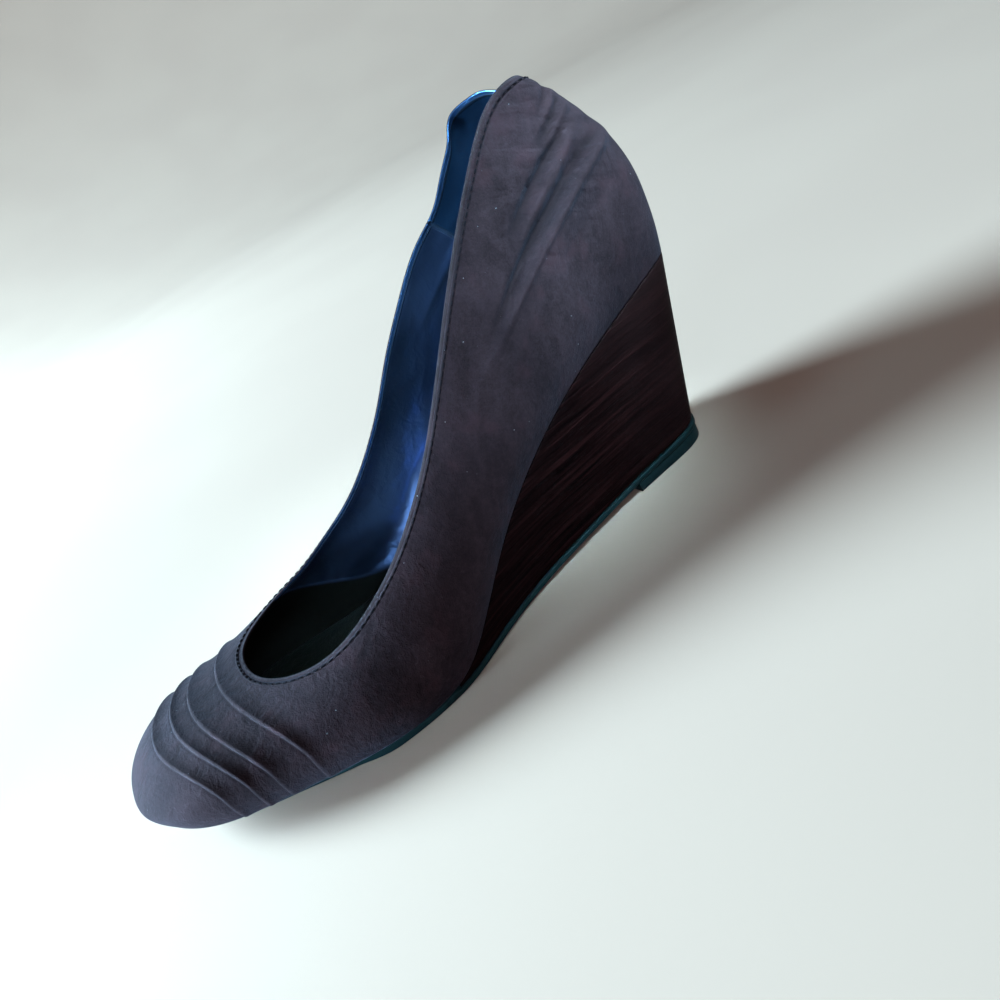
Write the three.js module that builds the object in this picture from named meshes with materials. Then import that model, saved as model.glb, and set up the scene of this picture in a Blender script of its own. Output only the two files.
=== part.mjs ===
// Left wedge shoe, standing empty on its sole: +X to the toe, +Y to the outer side, +Z up, in millimetres.
import * as THREE from 'three';

// Main sizes
const LENGTH = 236;          // heel back to toe tip along the floor, at the upper's widest outline
const BALL_WIDTH = 83.2;     // across the ball
const LAST_HEIGHT = 107;     // full height of the last's section over the heel seat
const HEEL_RISE = 61;        // heel seat over the ball
const TOE_SPRING = 10.2;     // toe over the ball
const VAMP_LENGTH = 49;      // front of the opening to the toe tip
const WALL = 1.8;            // suede and lining together
const GAP = 0.3;             // between pieces that meet
const SOCK = 2.4;            // insole board and sock
const SOLE = 1.8;            // rubber outsole
const BALL_SPARE = 0.3;      // extra thickness of the outsole under the ball
const SOLE_EDGE = 0.6;       // how far the outsole stands out from the feather edge
const TOE_SHY = 3.2;         // how far it comes in from that at the toe
const LIFT = 4.9;            // rubber lift under the heel
const LIFT_LENGTH = 38;      // from the wedge's rear to the lift's front edge
const LIFT_EDGE = 0.2;       // how far the lift stands out from the feather edge
const WEDGE_THIN = 0.7;      // thickness of the wedge where it runs out
const FOOT_LEAN = 14.2;      // how far the wedge's rear comes forward from seat to floor
const TOE_BLUNT = 6.6;       // higher makes the toe's side profile squarer
const TOE_TUCK = 2;          // how far the toe's feather edge lies in from its foremost point
const TOE_TUCK_HEIGHT = 8;   // height of that foremost point over the feather edge
const SIDE_SHARE = 0.18;     // share of a section that lies below its widest height
const BACK_HOLLOW = 21;      // height of the back curve's rearmost point over the seat
const BACK_TUCK = 1;         // how far the seat lies in from the rearmost point
const BACK_RISE = 36;        // height over the rearmost point where the collar has leant by BACK_TOP
const BACK_TOP = 15;         // how far the collar's back leans forward
const TUCK_LIP = 1.3;        // height of a tuck's folded edge
const TUCK_BOW = 10;         // how far a tuck's ends lie behind its middle
const FOLD_RISE = 1.3;       // height of a soft fold at the heel
const FOLD_WIDTH = 3;        // half width of a soft fold
const FLAT_FROM = 0.60;      // flat tread under the ball, as shares of the length
const FLAT_TO = 0.70;

const THROAT = LENGTH - VAMP_LENGTH;
const BALL_SEAT = SOLE + GAP + BALL_SPARE;

// Last sections, heel to toe. Shares of the ball width: centre, half and inset. Shares of the heel rise
// and the toe spring: heel and toe. Shares of the last's height: ridge and widest.
// The end rows of half give the end radii of the outline.
const SECTIONS = [
  { share: 0.00, centre: 0.008, half: 0.375, inset: 0.024, heel: 1.000, toe: 0.000, ridge: 1.000, widest: 0.150, round: 1.13 },
  { share: 0.05, centre: 0.005, half: 0.234, inset: 0.026, heel: 0.997, toe: 0.000, ridge: 1.000, widest: 0.150, round: 1.13 },
  { share: 0.15, centre: -0.024, half: 0.300, inset: 0.044, heel: 0.889, toe: 0.000, ridge: 0.981, widest: 0.150, round: 1.21 },
  { share: 0.30, centre: -0.016, half: 0.340, inset: 0.058, heel: 0.685, toe: 0.000, ridge: 0.832, widest: 0.131, round: 1.50 },
  { share: 0.45, centre: 0.010, half: 0.373, inset: 0.056, heel: 0.354, toe: 0.000, ridge: 0.523, widest: 0.121, round: 1.74 },
  { share: 0.52, centre: 0.019, half: 0.413, inset: 0.046, heel: 0.161, toe: 0.000, ridge: 0.477, widest: 0.112, round: 1.86 },
  { share: 0.58, centre: 0.025, half: 0.457, inset: 0.035, heel: 0.036, toe: 0.000, ridge: 0.458, widest: 0.112, round: 1.98 },
  { share: 0.64, centre: 0.020, half: 0.487, inset: 0.035, heel: 0.000, toe: 0.000, ridge: 0.402, widest: 0.103, round: 2.14 },
  { share: 0.70, centre: 0.007, half: 0.500, inset: 0.038, heel: 0.000, toe: 0.059, ridge: 0.336, widest: 0.103, round: 2.27 },
  { share: 0.82, centre: -0.012, half: 0.444, inset: 0.035, heel: 0.000, toe: 0.431, ridge: 0.262, widest: 0.093, round: 2.29 },
  { share: 0.92, centre: -0.034, half: 0.352, inset: 0.024, heel: 0.000, toe: 0.725, ridge: 0.266, widest: 0.084, round: 2.40 },
  { share: 1.00, centre: -0.069, half: 0.374, inset: 0.026, heel: 0.000, toe: 1.000, ridge: 0.255, widest: 0.075, round: 2.40 },
];

// Opening edge from the heel back to the throat: share of the section's upper part that the wall covers
const OPENING = [
  { share: 0.00, outer: 0.365, inner: 0.365 },
  { share: 0.08, outer: 0.395, inner: 0.362 },
  { share: 0.20, outer: 0.420, inner: 0.355 },
  { share: 0.38, outer: 0.422, inner: 0.348 },
  { share: 0.56, outer: 0.475, inner: 0.460 },
  { share: 0.74, outer: 0.520, inner: 0.480 },
  { share: 0.90, outer: 0.590, inner: 0.570 },
  { share: 1.00, outer: 1.000, inner: 1.000 },
];

// Tucks across the vamp, as shares of the vamp's length: crest from the throat, ramp behind it, drop ahead of it.
// Lip is a share of the tuck lip.
const TUCKS = [
  { crest: 0.173, ramp: 0.112, drop: 0.033, lip: 0.80 },
  { crest: 0.384, ramp: 0.153, drop: 0.036, lip: 1.00 },
  { crest: 0.518, ramp: 0.093, drop: 0.035, lip: 1.00 },
  { crest: 0.665, ramp: 0.106, drop: 0.037, lip: 0.92 },
];

// Soft folds near the heel, from and to: shares of the length along and of the last's height up from the seat.
// Rise on the outer and inner side and width are shares of the fold rise and width.
const FOLDS = [
  { fromX: 0.059, fromZ: 0.400, toX: 0.350, toZ: 0.300, outer: 1.0, inner: 1.0, width: 1.0 },
  { fromX: 0.068, fromZ: 0.441, toX: 0.345, toZ: 0.342, outer: -0.9, inner: -0.7, width: 0.75 },
  { fromX: 0.106, fromZ: 0.484, toX: 0.229, toZ: 0.450, outer: -0.9, inner: 0.0, width: 0.6 },
  { fromX: 0.082, fromZ: 0.600, toX: 0.207, toZ: 0.545, outer: 0.0, inner: 3.6, width: 1.7 },
];

const REAR_ROWS = 26;
const ROWS_UP = 13;
const TOE_ROWS = 12;

// Curves through table columns

// Second derivatives of a cubic through the points: level at both ends, or free at the last one
function cubicThrough(t, y, freeEnd) {
  const n = t.length;
  const low = new Array(n).fill(0);
  const mid = new Array(n).fill(1);
  const high = new Array(n).fill(0);
  const right = new Array(n).fill(0);
  const step = (i) => t[i + 1] - t[i];
  const slope = (i) => (y[i + 1] - y[i]) / step(i);
  mid[0] = 2 * step(0);
  high[0] = step(0);
  right[0] = 6 * slope(0);
  for (let i = 1; i < n - 1; i += 1) {
    low[i] = step(i - 1);
    mid[i] = 2 * (step(i - 1) + step(i));
    high[i] = step(i);
    right[i] = 6 * (slope(i) - slope(i - 1));
  }
  if (!freeEnd) {
    low[n - 1] = step(n - 2);
    mid[n - 1] = 2 * step(n - 2);
    right[n - 1] = -6 * slope(n - 2);
  }
  for (let i = 1; i < n; i += 1) {
    const k = low[i] / mid[i - 1];
    mid[i] -= k * high[i - 1];
    right[i] -= k * right[i - 1];
  }
  const bend = new Array(n).fill(0);
  bend[n - 1] = right[n - 1] / mid[n - 1];
  for (let i = n - 2; i >= 0; i -= 1) bend[i] = (right[i] - high[i] * bend[i + 1]) / mid[i];
  return (at) => {
    let i = 0;
    while (i < n - 2 && at > t[i + 1]) i += 1;
    const h = step(i);
    const a = (t[i + 1] - at) / h;
    const b = (at - t[i]) / h;
    const curve = ((a * a * a - a) * bend[i] + (b * b * b - b) * bend[i + 1]) * h * h / 6;
    return a * y[i] + b * y[i + 1] + curve;
  };
}

// A share of the length as an angle: even steps of it crowd towards both ends
const angleOf = (share) => Math.acos(Math.min(Math.max(1 - 2 * share, -1), 1));
const shareOf = (angle) => (1 - Math.cos(angle)) / 2;

function sectionColumn(valueOf) {
  return cubicThrough(SECTIONS.map((row) => angleOf(row.share)), SECTIONS.map(valueOf), false);
}

function openingColumn(name) {
  const covered = OPENING.map((row) => 1 - row[name]);
  return cubicThrough(OPENING.map((row) => angleOf(row.share)), covered, true);
}

// Half width over the angle's sine, so the outline closes round with the radius in the end rows
function roundedHalf() {
  const last = SECTIONS.length - 1;
  return sectionColumn((row, i) => {
    const size = row.half * BALL_WIDTH;
    if (i === 0 || i === last) return Math.sqrt(size * LENGTH / 2);
    return size / Math.sin(angleOf(row.share));
  });
}

const centreAt = sectionColumn((row) => row.centre * BALL_WIDTH);
const insetAt = sectionColumn((row) => row.inset * BALL_WIDTH);
const seatAt = sectionColumn((row) => BALL_SEAT + row.heel * HEEL_RISE + row.toe * TOE_SPRING);
const ridgeAt = sectionColumn((row) => row.ridge * LAST_HEIGHT);
const widestAt = sectionColumn((row) => row.widest * LAST_HEIGHT);
const roundAt = sectionColumn((row) => row.round);
const halfRatioAt = roundedHalf();
const coveredAt = { outer: openingColumn('outer'), inner: openingColumn('inner') };

const clamp = (value, low, high) => Math.min(Math.max(value, low), high);
const smooth = (value) => {
  const t = clamp(value, 0, 1);
  return t * t * (3 - 2 * t);
};

// Last surface

// Gentle ridges where the soft leather folds near the heel
function foldRise(x, height, side) {
  let rise = 0;
  for (const fold of FOLDS) {
    const dx = (fold.toX - fold.fromX) * LENGTH;
    const dz = (fold.toZ - fold.fromZ) * LAST_HEIGHT;
    const px = x - fold.fromX * LENGTH;
    const pz = height - fold.fromZ * LAST_HEIGHT;
    const run = Math.hypot(dx, dz);
    const along = (px * dx + pz * dz) / (run * run);
    const off = (px * dz - pz * dx) / (run * FOLD_WIDTH * fold.width);
    const fade = smooth((1 - along) / 0.6) * smooth((along + 0.5) / 0.4);
    rise += (side > 0 ? fold.outer : fold.inner) * FOLD_RISE * fade * Math.exp(-off * off);
  }
  return rise;
}

// Point of the smooth outer surface. side is +1 outer or -1 inner, up runs 0 at the feather edge to 1 on the ridge
function lastPoint(angle, up, side) {
  const share = shareOf(angle);
  const half = Math.max(Math.sin(angle) * halfRatioAt(angle), 0);
  const toe = Math.sqrt(Math.max(1 - share ** TOE_BLUNT, 0));
  const ridge = ridgeAt(angle) * toe;
  const widest = Math.min(widestAt(angle), 0.45 * ridge);
  const inset = insetAt(angle) * clamp(half / (0.24 * BALL_WIDTH), 0, 1);
  let y = half;
  let z = 0;
  if (up < SIDE_SHARE) {
    const t = up / SIDE_SHARE;
    y = half - inset + inset * Math.sin(t * Math.PI / 2);
    z = widest * t;
  } else {
    const turn = (up - SIDE_SHARE) / (1 - SIDE_SHARE) * Math.PI / 2;
    y = half * Math.max(Math.cos(turn), 0) ** (2 / roundAt(angle));
    z = widest + (ridge - widest) * Math.sin(turn);
  }
  const over = (z - BACK_HOLLOW) / BACK_RISE;
  const lean = z < BACK_HOLLOW ? BACK_TUCK * (1 - z / BACK_HOLLOW) ** 2 : BACK_TOP * over * over;
  const rearFade = clamp(1 - share / 0.35, 0, 1) ** 2;
  const frontFade = clamp((share - 0.8) / 0.2, 0, 1) ** 2;
  const toeTuck = TOE_TUCK * clamp(1 - z / TOE_TUCK_HEIGHT, 0, 1) ** 2 * frontFade;
  const x = share * LENGTH + lean * rearFade - toeTuck;
  return new THREE.Vector3(x, centreAt(angle) + side * y, seatAt(angle) + z);
}

// Outward normal of the smooth surface, from its own slopes
function lastNormal(angle, up, side) {
  const step = 0.012;
  if (angle > Math.PI - 0.03) return new THREE.Vector3(1, 0, 0);
  const a0 = angle < step ? angle : angle - step;
  const u0 = Math.max(up - step, 0);
  const u1 = Math.min(up + step, 1);
  const along = lastPoint(angle + step, up, side).sub(lastPoint(a0, up, side));
  if (angle < 0.001) along.set(0, side, 0);
  if (up > 0.999) return new THREE.Vector3(-along.z, 0, along.x).normalize();
  const rise = lastPoint(angle, u1, side).sub(lastPoint(angle, u0, side));
  return along.cross(rise).multiplyScalar(-side).normalize();
}

// Surface with the heel folds on it
function skinPoint(angle, up, side) {
  const point = lastPoint(angle, up, side);
  const height = point.z - seatAt(angle);
  const rise = foldRise(point.x, height, side) * smooth(shareOf(angle) / 0.05) * smooth(height / (0.11 * LAST_HEIGHT));
  if (Math.abs(rise) > 0.001) point.addScaledVector(lastNormal(angle, up, side), rise);
  return point;
}

// Feather edge on the seat surface, moved inwards in plan by an inset
function featherPoint(angle, side, inset) {
  const base = lastPoint(angle, 0, side);
  const step = 0.01;
  let nx = 0;
  let ny = side;
  if (angle < 0.02) {
    nx = -1;
    ny = 0;
  } else if (angle > Math.PI - 0.02) {
    nx = 1;
    ny = 0;
  } else {
    const a = lastPoint(angle - step, 0, side);
    const b = lastPoint(angle + step, 0, side);
    const run = Math.hypot(b.x - a.x, b.y - a.y);
    nx = -side * (b.y - a.y) / run;
    ny = side * (b.x - a.x) / run;
  }
  const x = base.x - nx * inset;
  return new THREE.Vector3(x, base.y - ny * inset, seatHeight(x));
}

const seatHeight = (x) => seatAt(angleOf(clamp(x / LENGTH, 0, 1)));

// Upper

// Rows of the vamp: angle and step height of each, with the tucks' crests and drops on rows of their own
function vampRows() {
  const rows = [{ x: THROAT, rise: 0 }];
  const put = (x, rise) => rows.push({ x, rise });
  put(THROAT + 0.03 * VAMP_LENGTH, 0);
  for (const tuck of TUCKS) {
    const crest = THROAT + tuck.crest * VAMP_LENGTH;
    const ramp = tuck.ramp * VAMP_LENGTH;
    const drop = tuck.drop * VAMP_LENGTH;
    const lip = tuck.lip * TUCK_LIP;
    for (const t of [0, 0.35, 0.65, 0.88]) put(crest - ramp * (1 - t), lip * t ** 1.4);
    put(crest, lip);
    put(crest + 0.35 * drop, lip * 0.72);
    put(crest + 0.75 * drop, lip * 0.1);
    put(crest + drop, -0.04 * lip);
  }
  const last = rows[rows.length - 1].x;
  const from = angleOf(last / LENGTH);
  for (let i = 1; i <= TOE_ROWS; i += 1) {
    const angle = from + (Math.PI - from) * i / TOE_ROWS;
    put(shareOf(angle) * LENGTH, 0);
  }
  return rows;
}

// How far a row bows back at a place on the section, from the ridge down to the feather edge
function bowAt(x, up) {
  const inVamp = smooth((x - 0.76 * THROAT) / (0.25 * THROAT)) * smooth((LENGTH - x) / (0.29 * VAMP_LENGTH));
  const turn = clamp((up - SIDE_SHARE) / (1 - SIDE_SHARE), 0, 1) * Math.PI / 2;
  return TUCK_BOW * inVamp * Math.max(Math.cos(turn), 0) ** 1.75;
}

class Builder {
  constructor() {
    this.points = [];
    this.faces = [];
    this.index = new Map();
  }

  add(point) {
    const key = [point.x, point.y, point.z].map((value) => Math.round(value * 2000)).join(',');
    if (!this.index.has(key)) {
      this.index.set(key, this.points.length);
      this.points.push(point);
    }
    return this.index.get(key);
  }

  triangle(a, b, c) {
    if (a !== b && b !== c && a !== c) this.faces.push([a, b, c]);
  }

  // Four corners in order, cut along the shorter diagonal
  quad(a, b, c, d) {
    const p = this.points;
    if (p[a].distanceTo(p[c]) <= p[b].distanceTo(p[d])) {
      this.triangle(a, b, c);
      this.triangle(a, c, d);
    } else {
      this.triangle(a, b, d);
      this.triangle(b, c, d);
    }
  }

  mesh(name, color) {
    const geometry = new THREE.BufferGeometry();
    geometry.setAttribute('position', new THREE.Float32BufferAttribute(this.points.flatMap((p) => p.toArray()), 3));
    geometry.setIndex(this.faces.flat());
    geometry.computeVertexNormals();
    const material = new THREE.MeshStandardMaterial({ color });
    material.name = name;
    const mesh = new THREE.Mesh(geometry, material);
    mesh.name = name;
    return mesh;
  }
}

// One side of the upper as rows of outer and inner points, feather edge first
function upperSide(side) {
  const rows = [];
  const name = side > 0 ? 'outer' : 'inner';
  const addRow = (list) => {
    rows.push(list.map(({ angle, up, rise }, k) => {
      const normal = lastNormal(angle, up, side);
      const point = skinPoint(angle, up, side);
      const lip = rise * (0.5 + 0.5 * smooth(up / 0.2));
      const outside = k === 0 ? featherPoint(angle, side, -lip) : point.clone().addScaledVector(normal, lip);
      const inside = k === 0 ? featherPoint(angle, side, WALL) : point.clone().addScaledVector(normal, -WALL);
      return { outside, inside };
    }));
  };
  for (let i = 0; i < REAR_ROWS; i += 1) {
    const u = shareOf(Math.PI * i / REAR_ROWS);
    const reach = 1 - coveredAt[name](angleOf(u));
    const top = SIDE_SHARE + (1 - SIDE_SHARE) * reach;
    const list = [];
    for (let k = 0; k <= ROWS_UP; k += 1) {
      const up = top * k / ROWS_UP;
      const x = u * THROAT - bowAt(u * THROAT, up) + bowAt(u * THROAT, top);
      list.push({ angle: angleOf(x / LENGTH), up, rise: 0 });
    }
    addRow(list);
  }
  for (const row of vampRows()) {
    const list = [];
    for (let k = 0; k <= ROWS_UP; k += 1) {
      const up = k / ROWS_UP;
      const angle = angleOf((row.x - bowAt(row.x, up)) / LENGTH);
      list.push({ angle, up, rise: row.rise });
    }
    addRow(list);
  }
  return rows;
}

function buildUpper() {
  const body = new Builder();
  for (const side of [1, -1]) {
    const rows = upperSide(side).map((row) => row.map((cell) => ({
      outside: body.add(cell.outside),
      inside: body.add(cell.inside),
    })));
    const quad = (a, b, c, d) => (side > 0 ? body.quad(a, b, c, d) : body.quad(d, c, b, a));
    for (let i = 0; i < rows.length - 1; i += 1) {
      for (let k = 0; k < ROWS_UP; k += 1) {
        const [a, b, c, d] = [rows[i][k], rows[i + 1][k], rows[i + 1][k + 1], rows[i][k + 1]];
        quad(d.outside, c.outside, b.outside, a.outside);
        quad(a.inside, b.inside, c.inside, d.inside);
      }
      const [a, b] = [rows[i][0], rows[i + 1][0]];
      quad(a.outside, b.outside, b.inside, a.inside);
      if (i < REAR_ROWS) {
        const [c, d] = [rows[i][ROWS_UP], rows[i + 1][ROWS_UP]];
        quad(c.inside, d.inside, d.outside, c.outside);
      }
    }
  }
  return body.mesh('upper', 0x55555c);
}

// Sole pieces

// Angles for rows: even steps from one length to another, with rows of their own where the shape turns
function rowAngles(from, to, count, turns) {
  const angles = [];
  const first = angleOf(from / LENGTH);
  const last = angleOf(to / LENGTH);
  for (let i = 0; i <= count; i += 1) angles.push(first + (last - first) * i / count);
  const marks = turns.map((x) => angleOf(x / LENGTH));
  const far = (angle) => marks.every((mark) => Math.abs(mark - angle) > 0.3 * (last - first) / count);
  const kept = angles.filter((angle, i) => i === 0 || i === count || far(angle));
  return kept.concat(marks).sort((a, b) => a - b);
}

// A sheet between two heights. edge(angle, side, level) gives its side wall, level 0 at the bottom
function buildSheet({ name, color, angles, across, levels, edge }) {
  const body = new Builder();
  const rings = [];
  for (const angle of angles) {
    const ring = [];
    const wall = (side, level) => edge(angle, side, level / levels);
    const rowOf = (level, k) => wall(1, level).lerp(wall(-1, level), k / across);
    for (let k = 0; k <= across; k += 1) ring.push(rowOf(0, k));
    for (let level = 1; level < levels; level += 1) ring.push(wall(-1, level));
    for (let k = across; k >= 0; k -= 1) ring.push(rowOf(levels, k));
    for (let level = levels - 1; level > 0; level -= 1) ring.push(wall(1, level));
    rings.push(ring.map((point) => body.add(point)));
  }
  const count = rings[0].length;
  for (let i = 0; i < rings.length - 1; i += 1) {
    for (let k = 0; k < count; k += 1) {
      const next = (k + 1) % count;
      body.quad(rings[i][k], rings[i + 1][k], rings[i + 1][next], rings[i][next]);
    }
  }
  // End caps: strips between the bottom and the top columns
  const cap = (ring, flip) => {
    const top = (k) => ring[across + levels - 1 + 1 + (across - k)];
    const face = (a, b, c, d) => (flip ? body.quad(d, c, b, a) : body.quad(a, b, c, d));
    if (levels === 1) {
      for (let k = 0; k < across; k += 1) face(ring[k], ring[k + 1], top(k + 1), top(k));
      return;
    }
    const centre = new THREE.Vector3();
    for (const id of ring) centre.addScaledVector(body.points[id], 1 / ring.length);
    const middle = body.add(centre);
    for (let k = 0; k < ring.length; k += 1) {
      const next = (k + 1) % ring.length;
      if (flip) body.triangle(middle, ring[next], ring[k]);
      else body.triangle(middle, ring[k], ring[next]);
    }
  };
  if (angles[0] > 0.001) cap(rings[0], false);
  if (angles[angles.length - 1] < Math.PI - 0.001) cap(rings[rings.length - 1], true);
  return body.mesh(name, color);
}

// Height of the outsole's underside: flat at the ball, up to the toe, and up behind to the top of the lift
function soleUnder(x) {
  const flatFrom = FLAT_FROM * LENGTH;
  const flatTo = FLAT_TO * LENGTH;
  const front = Math.max(seatHeight(x) - GAP - SOLE, 0) * smooth((x - flatTo) / (0.06 * LENGTH));
  const behind = (LIFT + GAP) * clamp((flatFrom - x) / (flatFrom - FOOT_LEAN), 0, 1);
  return x > flatTo ? front : behind;
}

// Length where the wedge has thinned out between the seat and the outsole
function findWedgeEnd() {
  let x = 0.4 * LENGTH;
  while (seatHeight(x) - soleUnder(x) - SOLE - 2 * GAP > WEDGE_THIN) x += 0.1;
  return x;
}
const WEDGE_END = findWedgeEnd();

// Height of the outsole's top: under the wedge behind, and a step up to just below the upper at the front
function soleTop(x) {
  const rear = soleUnder(x) + SOLE;
  const front = seatHeight(x) - GAP;
  return rear + (front - rear) * smooth((x - WEDGE_END - GAP) / 2.5);
}

// Plan outline shared by the wedge's foot, the outsole and the lift: the feather edge brought forward at the heel
function footPoint(angle, side, grow) {
  const point = featherPoint(angle, side, -grow);
  const share = shareOf(angle);
  point.x += FOOT_LEAN * clamp(1 - share / 0.5, 0, 1) ** 1.5;
  return point;
}

function buildShoe() {
  const group = new THREE.Group();
  group.name = 'wedge_shoe';
  group.add(buildUpper());

  group.add(buildSheet({
    name: 'insole', color: 0x85847f, angles: rowAngles(0, LENGTH, 44, []), across: 6, levels: 1,
    edge: (angle, side, level) => {
      const point = featherPoint(angle, side, WALL + GAP);
      point.z = seatHeight(point.x) + SOCK * level;
      return point;
    },
  }));

  group.add(buildSheet({
    name: 'wedge', color: 0x2a1a17, angles: rowAngles(0, WEDGE_END, 34, []), across: 6, levels: 6,
    edge: (angle, side, level) => {
      const top = featherPoint(angle, side, 0);
      const foot = footPoint(angle, side, 0);
      const point = foot.clone().lerp(top, level);
      const low = soleUnder(foot.x) + SOLE + GAP;
      const high = seatHeight(top.x) - GAP;
      point.z = low + (high - low) * level;
      return point;
    },
  }));

  const soleTurns = [WEDGE_END + GAP, WEDGE_END + GAP + 1.2, WEDGE_END + GAP + 2.5, FLAT_TO * LENGTH];
  if (WEDGE_END + GAP + 3 < FLAT_FROM * LENGTH) soleTurns.push(FLAT_FROM * LENGTH);
  group.add(buildSheet({
    name: 'outsole', color: 0x16211f, angles: rowAngles(0, LENGTH, 48, soleTurns), across: 6, levels: 1,
    edge: (angle, side, level) => {
      const point = footPoint(angle, side, SOLE_EDGE - TOE_SHY * smooth((shareOf(angle) - 0.55) / 0.4));
      point.z = level > 0.5 ? soleTop(point.x) : soleUnder(point.x);
      return point;
    },
  }));

  // The lift's front edge in the outline's own lengths, before the heel's foot comes forward
  let liftEnd = 0;
  while (footPoint(angleOf(liftEnd / LENGTH), 1, 0).x - FOOT_LEAN < LIFT_LENGTH) liftEnd += 0.1;
  group.add(buildSheet({
    name: 'top_lift', color: 0x101a19, angles: rowAngles(0, liftEnd, 14, []), across: 4, levels: 1,
    edge: (angle, side, level) => {
      const point = footPoint(angle, side, LIFT_EDGE);
      point.z = level > 0.5 ? soleUnder(point.x) - GAP : 0;
      return point;
    },
  }));

  // Origin at the middle of the footprint
  const box = new THREE.Box3().setFromObject(group);
  const middle = box.getCenter(new THREE.Vector3());
  for (const mesh of group.children) mesh.geometry.translate(-middle.x, -middle.y, -box.min.z);
  return group;
}

export default buildShoe();
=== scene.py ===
# Left wedge shoe on a pale floor. Tables and sizes are in millimetres, as in the part.
import math

import bpy
import numpy as np
from mathutils import Matrix, Vector
from mathutils.bvhtree import BVHTree


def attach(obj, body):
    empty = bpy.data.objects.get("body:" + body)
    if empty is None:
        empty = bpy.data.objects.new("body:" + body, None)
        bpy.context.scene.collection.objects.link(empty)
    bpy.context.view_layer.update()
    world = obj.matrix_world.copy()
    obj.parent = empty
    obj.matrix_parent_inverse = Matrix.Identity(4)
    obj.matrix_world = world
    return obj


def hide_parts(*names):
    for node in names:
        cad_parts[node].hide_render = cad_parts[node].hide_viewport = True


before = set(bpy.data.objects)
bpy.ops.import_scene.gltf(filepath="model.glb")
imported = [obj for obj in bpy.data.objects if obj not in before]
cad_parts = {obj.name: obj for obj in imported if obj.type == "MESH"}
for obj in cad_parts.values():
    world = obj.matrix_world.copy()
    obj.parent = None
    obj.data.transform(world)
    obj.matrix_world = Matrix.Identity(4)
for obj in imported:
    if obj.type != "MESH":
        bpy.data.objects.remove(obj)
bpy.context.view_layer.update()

# Camera
# The photograph's view of the shoe: close to, from its outer side, a little from the front and from above,
# and rolled, because the photographed shoe leans with its heel up. Metres and degrees.
EYE = Vector((0.04841, 0.22957, 0.14802))
AIM = Vector((-0.03177, -0.01926, 0.01095))
ROLL = -30.156
LENS = 29.265

camera_data = bpy.data.cameras.new("photo_camera")
camera_data.sensor_fit = "HORIZONTAL"
camera_data.sensor_width = 36.0
camera_data.lens = LENS
camera_data.clip_start = 0.01
camera = bpy.data.objects.new("photo_camera", camera_data)
towards = (AIM - EYE).to_track_quat("-Z", "Y").to_matrix().to_4x4()
camera.matrix_world = Matrix.Translation(EYE) @ towards @ Matrix.Rotation(math.radians(ROLL), 4, "Z")
bpy.context.scene.collection.objects.link(camera)
bpy.context.scene.camera = camera


# Floor and light
# A plain paper floor that turns up far away, weak daylight all round and a large cool window to the left of
# the picture, which rakes over the toe and leaves the side in shade. Small cool lamps lift the collar, the
# toe and the lining, and a weak warm fill stands far behind the camera.
class Signal:
    """A shader value. Arithmetic with numbers or other signals adds the maths node it needs."""

    def __init__(self, finish, socket):
        self.finish = finish
        self.socket = socket

    def _pair(self, operation, first, second):
        return self.finish.node("ShaderNodeMath", settings={"operation": operation},
                                numbered={0: first, 1: second})

    def __add__(self, other):
        return self._pair("ADD", self, other)

    def __radd__(self, other):
        return self._pair("ADD", other, self)

    def __sub__(self, other):
        return self._pair("SUBTRACT", self, other)

    def __rsub__(self, other):
        return self._pair("SUBTRACT", other, self)

    def __mul__(self, other):
        return self._pair("MULTIPLY", self, other)

    def __rmul__(self, other):
        return self._pair("MULTIPLY", other, self)

    def most(self, other):
        """The larger of the two."""
        return self._pair("MAXIMUM", self, other)

    def step(self, low, high):
        """0 below low, 1 above high and smooth between."""
        return self.finish.node("ShaderNodeMapRange", output="Result",
                                settings={"interpolation_type": "SMOOTHSTEP"},
                                Value=self, From_Min=low, From_Max=high)


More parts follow.
